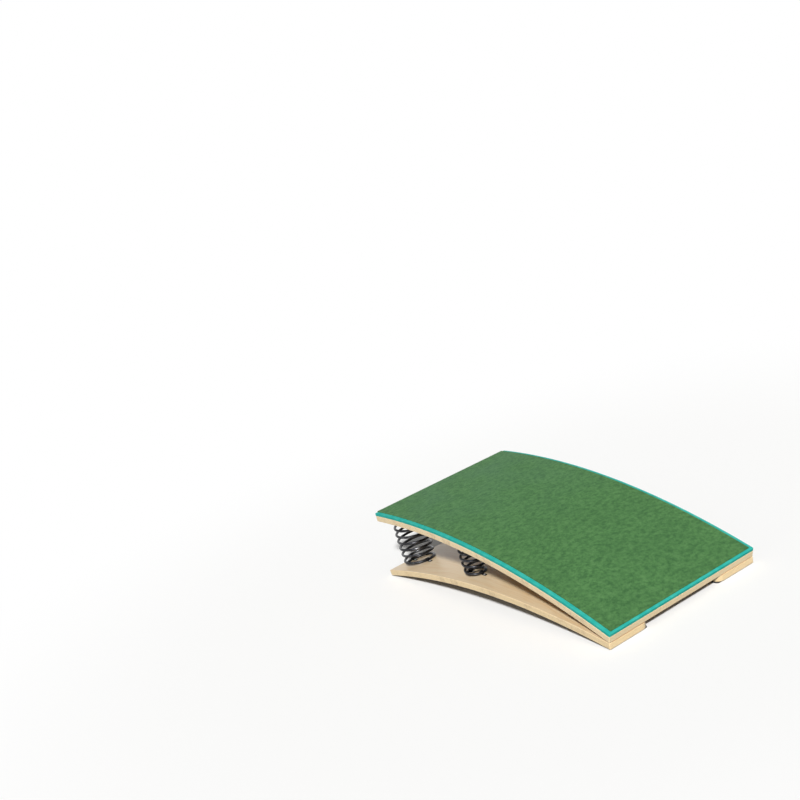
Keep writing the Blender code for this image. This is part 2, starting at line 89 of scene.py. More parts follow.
def make_camera(place, right, up, forward, lens):
    data = bpy.data.cameras.new("camera")
    data.lens = lens
    data.sensor_width = 36.0
    camera = add_object("camera", data)
    axes = Matrix((right, up, [-part for part in forward])).transposed()
    camera.matrix_world = Matrix.Translation(place) @ axes.to_4x4()
    bpy.context.scene.camera = camera
    return camera


camera = make_camera(
    place=(-3.3664, 2.2587, 1.7004),
    right=(-0.52286597, -0.80691998, -0.27475684),
    up=(0.06193523, -0.35743868, 0.93188069),
    forward=(0.85016187, -0.47023157, -0.23686929),
    lens=58.2655,
)
print("camera to board in m:", round(camera.location.length, 2))

# %% [markdown]
# ## Sizes that the pieces share
#
# Both boards are circular arcs in the side view. An arc is fixed by its two ends and by how far
# it rises between them, so those few sizes are all that is written down. The low end of the
# base is read from the solids.

# %% Sizes of the boards
GAP = 0.3 * MM
BOARD_WIDTH = 600 * MM
PLY = 21 * MM
BASE_CHORD = 1200 * MM
BASE_BOW_HEIGHT = 53 * MM
BASE_END_HEIGHT = 2 * MM
DECK_CHORD = BASE_CHORD + 3 * MM
DECK_BOW_HEIGHT = 60.5 * MM
DECK_HIGH_END_HEIGHT = 220 * MM
WEDGE_EDGE = 1 * MM

CORNER_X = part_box("wedge_left")[0].x
BASE_HALF_ANGLE = 2 * math.atan(2 * BASE_BOW_HEIGHT / BASE_CHORD)
BASE_LOW_X = CORNER_X + PLY * math.sin(BASE_HALF_ANGLE)
DECK_LOW_HEIGHT = BASE_END_HEIGHT + PLY * math.cos(BASE_HALF_ANGLE) + WEDGE_EDGE + 2 * GAP
DECK_TILT = math.asin((DECK_HIGH_END_HEIGHT - DECK_LOW_HEIGHT) / DECK_CHORD)
DECK_HIGH_END_X = CORNER_X + DECK_CHORD * math.cos(DECK_TILT)
print("the deck rises by degrees:", round(math.degrees(DECK_TILT), 1))

# %% Bows of the boards


class Bow:
    """A circular arc in the side view, bowed upwards. A lift moves it outwards."""

    def __init__(self, low, high, rise):
        chord = math.dist(low, high)
        tilt = math.asin((high[1] - low[1]) / chord)
        half = 2 * math.atan(2 * rise / chord)
        self.radius = chord / 2 / math.sin(half)
        drop = self.radius - rise
        self.x = (low[0] + high[0]) / 2 + drop * math.sin(tilt)
        self.z = (low[1] + high[1]) / 2 - drop * math.cos(tilt)
        self.low_lean = -half - tilt
        self.length = 2 * half * self.radius

    def place(self, lean, lift=0.0):
        """The place in the side view where the board leans by this angle."""
        reach = self.radius + lift
        return self.x + reach * math.sin(lean), self.z + reach * math.cos(lean)

    def bend(self, flat):
        """Where a point of the flat board ends up: X runs along it, and Z stands on it."""
        x, z = self.place(self.low_lean + flat.x / self.radius, flat.z)
        return Vector((x, flat.y, z))

    def flatten(self, bent):
        """Where a point of the bent board was while the board lay flat."""
        x, z = bent.x - self.x, bent.z - self.z
        along = (math.atan2(x, z) - self.low_lean) * self.radius
        return Vector((along, bent.y, math.hypot(x, z) - self.radius))

    def height(self, x, lift=0.0):
        return self.z + math.sqrt((self.radius + lift) ** 2 - (x - self.x) ** 2)

    def lean(self, x, lift=0.0):
        return math.asin((x - self.x) / (self.radius + lift))


base_ends = ((BASE_LOW_X, BASE_END_HEIGHT), (BASE_LOW_X + BASE_CHORD, BASE_END_HEIGHT))
deck_ends = ((CORNER_X, DECK_LOW_HEIGHT), (DECK_HIGH_END_X, DECK_HIGH_END_HEIGHT))
base_bow = Bow(*base_ends, BASE_BOW_HEIGHT)
deck_bow = Bow(*deck_ends, DECK_BOW_HEIGHT)
print("radius of base and deck in mm:", in_mm((base_bow.radius, deck_bow.radius)))

# %% [markdown]
# ## Colours and nodes
#
# Colours are picked as sRGB hex values, but shaders calculate with linear light, so one
# function turns the one into the other. A second function adds a shader node with its settings
# and links. Three steps come back in most finishes: to tint a colour where a pattern is strong,
# to stretch a noise until its lumps have the size of real grain, and to feed the shader with
# the colour and a bump.

# %% Helpers for nodes
RGBA = {"output": 2, "data_type": "RGBA"}
SOFT = {"interpolation_type": "SMOOTHSTEP"}


def colour(hex_value):
    channels = [int(hex_value[i : i + 2], 16) / 255 for i in (1, 3, 5)]
    linear = [c / 12.92 if c <= 0.04045 else ((c + 0.055) / 1.055) ** 2.4 for c in channels]
    return (*linear, 1.0)


def feed(node, inputs):
    """Gives each input its value, or links it to the output that feeds it."""
    for socket, value in inputs.items():
        if isinstance(value, bpy.types.NodeSocket):
            node.id_data.links.new(value, node.inputs[socket])
        else:
            node.inputs[socket].default_value = value


def add_node(tree, kind, inputs, output=0, **settings):
    """Adds a shader node with its settings and links, and gives one of its outputs."""
    node = tree.nodes.new("ShaderNode" + kind)
    for name, value in settings.items():
        setattr(node, name, value)
    feed(node, inputs)
    return node.outputs[output]


print("linear mid grey:", round(colour("#808080")[0], 3))

# %% Helpers for materials


def start_material(name, constants):
    """Gives a material, the function that adds nodes to it, and its Principled shader."""
    material = bpy.data.materials.new(name)
    material.use_nodes = True
    shader = material.node_tree.nodes["Principled BSDF"]
    feed(shader, constants)
    return material, partial(add_node, material.node_tree), shader


def tint(add, shade, hex_value, pattern, start, end, most):
    """Mixes a colour in. Its share grows to the most as the pattern goes from start to end."""
    share = add("MapRange", {0: pattern, 1: start, 2: end, 4: most})
    return add("Mix", {0: share, 6: shade, 7: colour(hex_value)}, **RGBA)


def stretched_noise(add, place, sizes, detail, roughness=0.5, turn=0.0):
    """A noise whose lumps have these sizes along X, Y and Z, in millimetres."""
    scale = [1 / (size * MM) for size in sizes]
    place = add("Mapping", {0: place, 2: (0.0, 0.0, turn), 3: scale})
    settings = {"Vector": place, "Scale": 1.0, "Detail": detail, "Roughness": roughness}
    return add("TexNoise", settings)


def finish_shader(add, shader, shade, height, depth, strength, **more):
    """Feeds the shader with a colour and a bump of this depth."""
    bump = add("Bump", {"Height": height, "Distance": depth, "Strength": strength})
    feed(shader, {"Base Color": shade, "Normal": bump, **more})


print("scale of a pattern of 2.5 mm:", 1 / (2.5 * MM))

# %% [markdown]
# ## Moulded birch plywood
#
# The boards are birch veneers, glued with the grain of each ply across that of the last and
# pressed over a curved mould, then sanded and given a thin satin varnish. The eye sees two
# things: fine straight grain with soft darker rings on the faces, and stripes on the cut
# edges, where every second ply shows its darker end grain between thin brown glue lines.
#
# The pattern has to follow the bend. Each bent piece therefore remembers where its points were
# while it lay flat, in metres along, across and through the board, and the material reads that.
# Real plies of such a board are about 1.5 to 2.5 mm thick. Nine plies of 2.3 mm are drawn.

# %% Grain of the plies
PLY_COUNT = 9
PLY_SHIFT = 3.7  # metres along the log, from the pattern of one ply to that of the next
RING_WAVES = 70.0


def ply_grain(add, laid):
    """Gives the grain's tone and streaks, and each ply's level and crossing."""
    x, y, z = add("SeparateXYZ", {0: laid}).node.outputs
    # Even plies, such as both faces, have their grain along the board. Odd ones lie across.
    # The levels are squeezed and lifted a little, to keep both faces inside their plies.
    squeezed = PLY_COUNT / PLY * 0.999
    level = add("Math", {0: z, 1: squeezed, 2: 0.004}, operation="MULTIPLY_ADD")
    number = add("Math", {0: level}, operation="FLOOR")
    cross = add("Math", {0: number, 1: 2.0}, operation="MODULO")
    shifted = add("Math", {0: number, 1: PLY_SHIFT, 2: x}, operation="MULTIPLY_ADD")
    long_place = add("CombineXYZ", {0: shifted, 1: y, 2: z})
    cross_place = add("CombineXYZ", {0: y, 1: shifted, 2: z})
    place = add("Mix", {0: cross, 4: long_place, 5: cross_place}, 1, data_type="VECTOR")

    # Vessels: streaks about 90 mm long and 2.5 mm wide, drawn twice as wide as real ones.
    streaks = stretched_noise(add, place, (90, 2.5, 2.5), detail=3.0, roughness=0.6)
    streak_tone = add("MapRange", {0: streaks, 1: 0.4, 2: 0.75, 4: 0.45})
    # Rings: a slow field, 600 mm by 45 mm, cut into bands.
    field = stretched_noise(add, place, (600, 45, 45), detail=2.0, roughness=0.4)
    waves = add("Math", {0: field, 1: RING_WAVES}, operation="MULTIPLY")
    rings = add("Math", {0: waves}, operation="SINE")
    ring_tone = add("MapRange", {0: rings, 1: 0.2, 2: 1.0, 4: 0.26}, **SOFT)
    # Clouds: broad pale and dark places of the log, half a metre by 160 mm.
    clouds = stretched_noise(add, laid, (500, 160, 20), detail=1.0)
    cloud_tone = add("MapRange", {0: clouds, 1: 0.35, 2: 0.7, 3: -0.12, 4: 0.2})
    tone = add("Math", {0: ring_tone, 1: streak_tone}, operation="ADD")
    tone = add("Math", {0: tone, 1: cloud_tone}, operation="ADD", use_clamp=True)
    return tone, streaks, level, cross


print("ply drawn in mm:", in_mm([PLY / PLY_COUNT], 2))

# %% [markdown]
# ## Edges, glue and handling marks
#
# The cut edges need three more things than the faces do. Where the eye looks along the fibres
# of a ply, that ply shows its darker, thirstier end grain. A thin brown glue line parts each two
# plies. And the outer few millimetres of the board are greyer in places, where hands and floors
# have worn through the varnish.

# %% Plywood
BIRCH_FACE = "#D9C5A4"
BIRCH_FACE_GRAIN = "#CBA672"
GLUE_BROWN = "#7A5230"
WORN_GREY = "#A98F72"
WORN_BORDER = 7 * MM


def birch_plywood(name, cut, cut_grain_with_painted_light, end_grain_with_painted_light):
    varnish = {"IOR": 1.5, "Coat Weight": 0.18, "Coat Roughness": 0.3}
    material, add, shader = start_material(name, varnish)
    laid = add("Attribute", {}, "Vector", attribute_name="laid_flat")
    tone, streaks, level, cross = ply_grain(add, laid)
    # A cut edge is warmer and paler than a face: the warmth is cut wood that drinks more
    # varnish, and the paleness is partly painted light, as on a side that faces the lamp.
    normal = add("SeparateXYZ", {0: add("NewGeometry", {}, "Normal")}).node.outputs
    along_x, along_y, upright = [add("Math", {0: n}, operation="ABSOLUTE") for n in normal]
    edge = add("MapRange", {0: upright, 1: 0.85, 2: 0.5}, **SOFT)
    pale = add("Mix", {0: edge, 6: colour(BIRCH_FACE), 7: colour(cut)}, **RGBA)
    dark = add("Mix", {0: edge, 6: colour(BIRCH_FACE_GRAIN), 7: colour(cut_grain_with_painted_light)}, **RGBA)
    wood = add("Mix", {0: tone, 6: pale, 7: dark}, **RGBA)

    # End grain, with pores of 1.1 mm.
    fibres = add("Mix", {0: cross, 2: along_x, 3: along_y}, data_type="FLOAT")
    end = add("MapRange", {0: fibres, 1: 0.55, 2: 0.85}, **SOFT)
    pores = add("TexNoise", {"Vector": laid, "Scale": 1 / (1.1 * MM), "Detail": 1.0})
    end_tone = add("MapRange", {0: pores, 1: 0.3, 2: 0.7, 3: 0.5, 4: 0.95})
    end_share = add("Math", {0: end, 1: end_tone}, operation="MULTIPLY")
    wood = add("Mix", {0: end_share, 6: wood, 7: colour(end_grain_with_painted_light)}, **RGBA)

    # Glue lines, 0.35 mm wide, between the plies and not on the faces.
    fraction = add("Math", {0: level, 1: 0.5}, operation="PINGPONG")
    glue = add("MapRange", {0: fraction, 1: 0.05, 2: 0.13, 3: 0.55, 4: 0.0}, **SOFT)
    half = PLY_COUNT / 2
    buried = add("Math", {0: level, 1: half, 2: half - 0.5}, operation="COMPARE")
    glue = add("Math", {0: glue, 1: buried}, operation="MULTIPLY")
    wood = add("Mix", {0: glue, 6: wood, 7: colour(GLUE_BROWN)}, **RGBA)

    # Handling marks within 7 mm of a long side, broken up every 40 mm or so.
    across = add("Math", {0: add("SeparateXYZ", {0: laid}, "Y")}, operation="ABSOLUTE")
    side = BOARD_WIDTH / 2
    border = add("MapRange", {0: across, 1: side - WORN_BORDER, 2: side})
    marks = {"Vector": laid, "Scale": 1 / (40 * MM), "Detail": 5.0, "Roughness": 0.65}
    marks = add("MapRange", {0: add("TexNoise", marks), 1: 0.52, 2: 0.66, 4: 0.4})
    worn = add("Math", {0: border, 1: marks}, operation="MULTIPLY")
    wood = add("Mix", {0: worn, 6: wood, 7: colour(WORN_GREY)}, **RGBA)

    dry = add("Math", {0: end_share, 1: worn}, operation="MAXIMUM")
    rough = add("MapRange", {0: dry, 3: 0.4, 4: 0.65})
    finish_shader(add, shader, wood, streaks, 0.15 * MM, 0.5, Roughness=rough)
    return material


# Both boards are the same birch. Their edge colours differ, as each carries painted light
# matched to how brightly its own edges are lit.
base_birch = birch_plywood("birch_plywood_of_base", "#FCE4B4", "#F0CF97", "#F1D7A8")
deck_birch = birch_plywood("birch_plywood_of_deck", "#FEEBC2", "#F8DCAC", "#EED09E")
print("plywoods:", base_birch.name, deck_birch.name)

# %% [markdown]
# ## Bent plates
#
# Boards and foam are drawn flat as a filled curve with a bevel, which rounds the edges, and
# then bent point by point onto their bow. Thin slices across the length make the bend smooth.
# A Bend deformer would do it too, but a short formula puts every layer exactly on its arc.

# %% Outlines
CORNER_STEPS = 4


def arc_points(centre, radius, start, end, steps):
    angles = np.linspace(start, end, steps + 1)
    return [(centre[0] + radius * math.cos(a), centre[1] + radius * math.sin(a)) for a in angles]


def rounded_rectangle(start, end, half_width, corner):
    """A closed outline, anticlockwise, whose four corners are rounded."""
    corners = ((end, half_width), (start, half_width), (start, -half_width), (end, -half_width))
    points = []
    for turn, (x, y) in enumerate(corners):
        middle = (x - math.copysign(corner, x - start - corner), y - math.copysign(corner, y))
        angles = (turn * math.pi / 2, (turn + 1) * math.pi / 2)
        points += arc_points(middle, corner, *angles, CORNER_STEPS)
    return points


print("points in a rounded rectangle:", len(rounded_rectangle(0.0, 1.0, 0.5, 0.1)))

# %% Flat plates
WELD = 0.01 * MM


def bevelled_curve(name, dimensions, points, radius, resolution):
    """A curve through these points, whose bevel has this radius."""
    curve = bpy.data.curves.new(name, "CURVE")
    curve.dimensions = dimensions
    curve.bevel_depth = radius
    curve.bevel_resolution = resolution
    spline = curve.splines.new("POLY")
    spline.points.add(len(points) - 1)
    for place, point in zip(spline.points, points):
        place.co = (*point, 1.0)
    return curve


def mesh_from(work, name):
    """Turns finished mesh work into a mesh."""
    mesh = bpy.data.meshes.new(name)
    work.to_mesh(mesh)
    work.free()
    return mesh


def skin_of(curve):
    """The skin of a curve as a mesh, welded and facing outwards. The curve is removed."""
    name = curve.name
    piece = add_object(name, curve)
    graph = bpy.context.evaluated_depsgraph_get()
    rough = bpy.data.meshes.new_from_object(piece.evaluated_get(graph))
    bpy.data.objects.remove(piece)
    bpy.data.curves.remove(curve)
    work = bmesh.new()
    work.from_mesh(rough)
    bpy.data.meshes.remove(rough)
    bmesh.ops.remove_doubles(work, verts=work.verts, dist=WELD)
    bmesh.ops.recalc_face_normals(work, faces=work.faces)
    return mesh_from(work, name)


def filled_plate(name, outline, thickness, rounding):
    """A flat plate with rounded edges, from a closed outline in X and Y. It is centred on Z."""
    points = [(x, y, 0.0) for x, y in outline]
    curve = bevelled_curve(name, "2D", points, rounding, resolution=2)
    curve.fill_mode = "BOTH"
    curve.extrude = thickness / 2 - rounding
    curve.offset = -rounding
    curve.splines[0].use_cyclic_u = True
    return skin_of(curve)


print("points are welded within mm:", in_mm([WELD], 2))

# %% Bent plates
SLICE_LENGTH = 8 * MM


def bent_plate(name, bow, outline, bottom, top, rounding):
    """A plate bent onto a bow, from one lift to another."""
    flat = filled_plate(name, outline, top - bottom, rounding)
    work = bmesh.new()
    work.from_mesh(flat)
    bpy.data.meshes.remove(flat)
    for cut in np.arange(SLICE_LENGTH, bow.length, SLICE_LENGTH):
        everything = work.verts[:] + work.edges[:] + work.faces[:]
        bmesh.ops.bisect_plane(work, geom=everything, plane_co=(cut, 0, 0), plane_no=(1, 0, 0))
    for vert in work.verts:
        vert.co = bow.bend(vert.co + Vector((0, 0, (bottom + top) / 2)))
    return add_object(name, mesh_from(work, name))


def remember_flat(piece, bow):
    """Stores where each point lay while the piece was flat, for its material."""
    store = piece.data.attributes.new("laid_flat", "FLOAT_VECTOR", "POINT")
    flat = [number for vert in piece.data.vertices for number in bow.flatten(vert.co)]
    store.data.foreach_set("vector", flat)


def soften(mesh, sharp):
    """Smooth shading, with a crease where faces meet at more than this many degrees."""
    mesh.shade_smooth()
    mesh.set_sharp_from_angle(angle=math.radians(sharp))


def shade_evenly(piece):
    """Smooth shading that keeps big flat faces flat beside small rounded edges."""
    soften(piece.data, 40)
    even = piece.modifiers.new("even_normals", "WEIGHTED_NORMAL")
    even.keep_sharp = True


print("slices along the base:", int(base_bow.length / SLICE_LENGTH))

# %% [markdown]
# ## Turned bodies and holes
#
# Bolts, screws and the drills for their holes are turned: half of their side view is spun around
# an axis. A hole is then a boolean difference. The exact solver leaves clean rims even in thin
# curved plates.

# %% Helpers for turned bodies and holes


def turned(name, profile, steps=32):
    """A solid turned around Z, from the top of its axis down its outer side."""
    work = bmesh.new()
    verts = [work.verts.new((radius, 0, height)) for radius, height in profile]
    edges = [work.edges.new(pair) for pair in zip(verts, verts[1:])]
    full_turn = {"axis": (0, 0, 1), "angle": 2 * math.pi, "steps": steps, "use_merge": True}
    bmesh.ops.spin(work, geom=verts + edges, **full_turn)
    bmesh.ops.remove_doubles(work, verts=work.verts, dist=0.001 * MM)
    bmesh.ops.recalc_face_normals(work, faces=work.faces)
    return mesh_from(work, name)


def hole_profile(radius, top, bottom):
    return [(0, top), (radius, top), (radius, bottom), (0, bottom)]


def drills(profile, frames):
    """The same turned body at several places, as one object to cut with."""
    work = bmesh.new()
    for place in frames:
        one = turned("drill", profile)
        one.transform(place)
        work.from_mesh(one)
        bpy.data.meshes.remove(one)
    return add_object("drills", mesh_from(work, "drills"))


def cut_away(piece, cutter):
    """Cuts the cutter out of the piece, and removes the cutter."""
    cut = piece.modifiers.new("cut", "BOOLEAN")
    cut.object = cutter
    cut.solver = "EXACT"
    graph = bpy.context.evaluated_depsgraph_get()
    piece.data = bpy.data.meshes.new_from_object(piece.evaluated_get(graph))
    piece.modifiers.remove(cut)
    bpy.data.objects.remove(cutter)


print("points in a hole's profile:", len(hole_profile(1, 1, 0)))

# %% Places of the bolts
SIDES = {"left": 1, "right": -1}
BOLT_X = BASE_LOW_X + 40 * MM
BOLT_LEAN = base_bow.lean(BOLT_X)
BOLT_FROM_SIDE = 35 * MM
BOLT_PITCH = 72 * MM
BOLT_ACROSS = {
    "outer": BOARD_WIDTH / 2 - BOLT_FROM_SIDE,
    "inner": BOARD_WIDTH / 2 - (BOLT_FROM_SIDE + BOLT_PITCH),
}


def bolt_frame(side_name, place_name):
    """Stands Z along a bolt, from the lower face of the base."""
    y = BOLT_ACROSS[place_name] * SIDES[side_name]
    seat = Matrix.Translation((BOLT_X, y, base_bow.height(BOLT_X)))
    return seat @ Matrix.Rotation(BOLT_LEAN, 4, "Y")


def reach_on_bolt(node_name):
    """How far a bolted solid reaches along its bolt, as its lowest and its highest place."""
    side_name, place_name = node_name.split("_")[-2:]
    to_bolt = bolt_frame(side_name, place_name).inverted()
    heights = [(to_bolt @ vert.co).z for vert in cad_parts[node_name].data.vertices]
    return min(heights), max(heights)


bolt_frames = {f"{side}_{at}": bolt_frame(side, at) for side in SIDES for at in BOLT_ACROSS}
print("bolts:", len(bolt_frames), "which lean by degrees:", round(math.degrees(BOLT_LEAN), 1))

# %% [markdown]
# ## Where springs and clips sit
#
# A spring stands between two sloping boards, and each of its flat end turns is held by two
# strap clips, on the spring's low and high side. A clip has a foot with one screw. All of them
# are placed by one frame per clip, whose Z points away from the board.

# %% Sizes of springs and clips
WIRE_RADIUS = 4.5 * MM
WIRE_LIFT = GAP + WIRE_RADIUS
SPRING_SIDE_MARGIN = 30 * MM
SPRINGS = {
    "front": {"from_end": 65 * MM, "diameter": 116 * MM, "half_turns": 15},
    "rear": {"from_end": 460 * MM, "diameter": 76 * MM, "half_turns": 11},
}
CLIP_THICKNESS = 2 * MM
CLIP_HALF_OPENING = WIRE_RADIUS + 1.6 * MM
CLIP_RISE = WIRE_RADIUS + 1.5 * MM
CLIP_HEIGHT = WIRE_LIFT + CLIP_RISE + CLIP_THICKNESS
CLIP_FOOT = 16 * MM
CLIP_INWARD_SHIFT = 1 * MM
PILOT_HOLE = hole_profile(2.5 * MM, 10 * MM, -14 * MM)
to_screw = Matrix.Translation((-(CLIP_HALF_OPENING + CLIP_THICKNESS + CLIP_FOOT / 2), 0, 0))
print("clip height in mm:", in_mm([CLIP_HEIGHT]))

# %% Places of springs and clips


def spring_place(end_name, side_name):
    size = SPRINGS[end_name]
    across = BOARD_WIDTH / 2 - SPRING_SIDE_MARGIN - size["diameter"] / 2
    return DECK_HIGH_END_X - size["from_end"], across * SIDES[side_name]


def clip_frame(board, x, y):
    if board == "base":
        lean, flip = base_bow.lean(x, PLY + WIRE_LIFT), 0.0
        seat_x, seat_z = base_bow.place(lean, PLY)
    else:
        lean, flip = deck_bow.lean(x, -WIRE_LIFT), math.pi
        seat_x, seat_z = deck_bow.place(lean)
    turn = Matrix.Rotation(lean, 4, "Y") @ Matrix.Rotation(flip, 4, "X")
    return Matrix.Translation((seat_x, y, seat_z)) @ turn


clip_frames = {"base": {}, "deck": {}}
for end_name, size in SPRINGS.items():
    reach = size["diameter"] / 2 - WIRE_RADIUS - CLIP_INWARD_SHIFT
    for side_name in SIDES:
        x, y = spring_place(end_name, side_name)
        for board, frames in clip_frames.items():
            frames[f"{end_name}_{side_name}_{board}_low"] = clip_frame(board, x - reach, y)
            frames[f"{end_name}_{side_name}_{board}_high"] = clip_frame(board, x + reach, y)


def drill_pilots(piece, board):
    """Drills the hole for each clip's screw."""
    places = [place @ to_screw for place in clip_frames[board].values()]
    cut_away(piece, drills(PILOT_HOLE, places))


print("clips on the base:", len(clip_frames["base"]), "on the deck:", len(clip_frames["deck"]))

# %% [markdown]
# ## The base board
#
# The base rests on its two ends and arches between them. A wide notch with round corners is
# sawn out of its low end. The notch is drawn in the same outline as the board, so that its
# edges get the same sanded rounding as the rest.

# %% Base board
EDGE_ROUNDING = 1.5 * MM
BOARD_CORNER = 3 * MM
CUTOUT_WIDTH = 290 * MM
CUTOUT_DEPTH = 110 * MM
CUTOUT_MOUTH_RADIUS = 25 * MM
CUTOUT_CORNER_RADIUS = 30 * MM
CUTOUT_STEPS = 10
BOLT_RADIUS = 4 * MM
TIGHT_HOLE_RADIUS = BOLT_RADIUS + 0.3 * MM


def base_outline():
    half = CUTOUT_WIDTH / 2
    mouth = (CUTOUT_MOUTH_RADIUS, half + CUTOUT_MOUTH_RADIUS)
    corner = (CUTOUT_DEPTH - CUTOUT_CORNER_RADIUS, half - CUTOUT_CORNER_RADIUS)
    notch = arc_points(mouth, CUTOUT_MOUTH_RADIUS, math.pi, 1.5 * math.pi, CUTOUT_STEPS)
    notch += arc_points(corner, CUTOUT_CORNER_RADIUS, math.pi / 2, 0.0, CUTOUT_STEPS)
    notch += [(x, -y) for x, y in reversed(notch)]
    plain = rounded_rectangle(0.0, base_bow.length, BOARD_WIDTH / 2, BOARD_CORNER)
    # The plain outline passes the middle of the low end between its second and third corner.
    low_end = 2 * (CORNER_STEPS + 1)
    return plain[:low_end] + notch + plain[low_end:]


def count_triangles(mesh):
    return sum(len(face.vertices) - 2 for face in mesh.polygons)


base = bent_plate("base_board_smooth", base_bow, base_outline(), 0.0, PLY, EDGE_ROUNDING)
through = hole_profile(TIGHT_HOLE_RADIUS, 40 * MM, -10 * MM)
cut_away(base, drills(through, bolt_frames.values()))
drill_pilots(base, "base")
remember_flat(base, base_bow)
shade_evenly(base)
base.data.materials.append(base_birch)
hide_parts("base_board")
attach(base, "base")
print("base board triangles:", count_triangles(base.data))

# %% [markdown]
# ## The deck board
#
# The deck is the spring of the low end: it is bolted down there and bends. It has no notch. Its
# bolt holes are loose, so that the deck can rock on its packing, and a wide recess in its top
# hides each washer and nut under the foam.

# %% Deck board
LOOSE_HOLE_RADIUS = BOLT_RADIUS + 2.3 * MM
RECESS_RADIUS = 12.5 * MM
DRILL_TOP = 80 * MM

deck_outline = rounded_rectangle(0.0, deck_bow.length, BOARD_WIDTH / 2, BOARD_CORNER)
deck = bent_plate("deck_board_smooth", deck_bow, deck_outline, 0.0, PLY, EDGE_ROUNDING)
seat = reach_on_bolt("washer_left_outer")[0] - 2 * MM
stepped = [(0, DRILL_TOP), (RECESS_RADIUS, DRILL_TOP), (RECESS_RADIUS, seat)]
stepped += [(LOOSE_HOLE_RADIUS, seat), (LOOSE_HOLE_RADIUS, 0), (0, 0)]
cut_away(deck, drills(stepped, bolt_frames.values()))
drill_pilots(deck, "deck")
remember_flat(deck, deck_bow)
shade_evenly(deck)
deck.data.materials.append(deck_birch)
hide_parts("deck_board")
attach(deck, "deck")
print("deck board triangles:", count_triangles(deck.data))

# %% [markdown]
# ## Closed-cell foam
#
# The turquoise sheet is polyethylene foam, skived from a block and bonded to the deck. Its skin
# is matt, with tiny cut cells that catch the light, and it is a little paler where handling has
# rubbed it. The cut cells are darkened with painted shade. Cells of 1 mm are drawn at 1.6 mm. A
# knife never cuts soft foam quite straight, so its sides wander by a few tenths of a millimetre.

# %% Foam material


def closed_cell_foam(name, body, rubbed, hollow_shade_and_dark_tone):
    matt = {"Roughness": 0.8, "IOR": 1.45, "Specular IOR Level": 0.35}
    material, add, shader = start_material(name, matt)
    laid = add("Attribute", {}, "Vector", attribute_name="laid_flat")
    cells = add("TexVoronoi", {"Vector": laid, "Scale": 1 / (1.6 * MM)}, "Distance")
    cloud = add("TexNoise", {"Vector": laid, "Scale": 1 / (30 * MM), "Detail": 3.0})
    shade = tint(add, colour(body), rubbed, cloud, 0.42, 0.68, 0.7)
    # Painted shade: darker towards the middle of each cut cell, where the bump makes a pit.
    shade = tint(add, shade, hollow_shade_and_dark_tone, cells, 0.7, 0.1, 0.25)
    finish_shader(add, shader, shade, cells, 0.3 * MM, 0.6)
    return material


# The last colour is painted shade in the cut cells.
foam_skin = closed_cell_foam("turquoise_polyethylene_foam", "#22A89C", "#45BCAD", "#15776D")
print("foam:", foam_skin.name)

# %% Foam sheet
FOAM_BOTTOM = PLY + GAP
FOAM_TOP = FOAM_BOTTOM + 10 * MM
FOAM_ROUNDING = 1.2 * MM
SIDE_WANDER = 0.4 * MM
WANDER_LENGTH = 35 * MM

foam = bent_plate("foam_sheet", deck_bow, deck_outline, FOAM_BOTTOM, FOAM_TOP, FOAM_ROUNDING)
remember_flat(foam, deck_bow)
for vert in foam.data.vertices:
    # Only the outermost hundredth of the width moves, and its rim moves most.
    outermost = max(0.0, abs(vert.co.y) / (BOARD_WIDTH / 2) - 0.99) / 0.01
    wander = abs(noise.noise(Vector((vert.co.x, vert.co.y, 0)) / WANDER_LENGTH))
    vert.co.y -= math.copysign(1, vert.co.y) * outermost * SIDE_WANDER * wander
shade_evenly(foam)
foam.data.materials.append(foam_skin)
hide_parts("foam_pad")
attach(foam, "deck")
print("foam thickness in mm:", in_mm([FOAM_TOP - FOAM_BOTTOM]))

# %% [markdown]
# ## Needle-felt carpet
#
# The cover is polypropylene needle felt: a mat of crimped fibres, punched with barbed needles
# until they lock. It has no pile and no weave. The eye sees a short, scruffy, slightly lumpy
# surface in soft darker and paler patches of 10 to 25 mm, drawn out a little across the board,
# as the roll ran. Painted shade darkens its hollows, and a painted highlight makes its raised
# fibres paler. The lumps, about 9 mm across and a few tenths of a millimetre high, are real
# geometry, and so is the slightly ragged cut edge. The fibres, really 0.1 mm thick, are drawn by
# the shader at about 1 mm. Towards the high end the felt turns paler and greyer, in clouds.

# %% Carpet material
FIBRE_SIZES = (6, 1.1, 2)
CRIMP_LENGTH = 11 * MM
CRIMP_REACH = 12 * MM
PATCH_SIZES = (13.5, 20, 20)
LUMP_SIZE = 9 * MM


def crimped_fibres(add, laid):
    """Fibres as stretched noise in two crossing directions, bent by a slower noise."""
    crimp = add("TexNoise", {"Vector": laid, "Scale": 1 / CRIMP_LENGTH, "Detail": 1.0}, "Color")
    crimp = add("VectorMath", {0: crimp, 1: (0.5, 0.5, 0.5)}, operation="SUBTRACT")
    reach = (CRIMP_REACH, CRIMP_REACH, 0.0)
    crimp = add("VectorMath", {0: crimp, 1: reach}, operation="MULTIPLY")
    bent = add("VectorMath", {0: laid, 1: crimp}, operation="ADD")
    layers = [stretched_noise(add, bent, FIBRE_SIZES, 2.0, 0.7, turn) for turn in (0.5, 1.9)]
    return add("Math", {0: layers[0], 1: layers[1]}, operation="MAXIMUM")


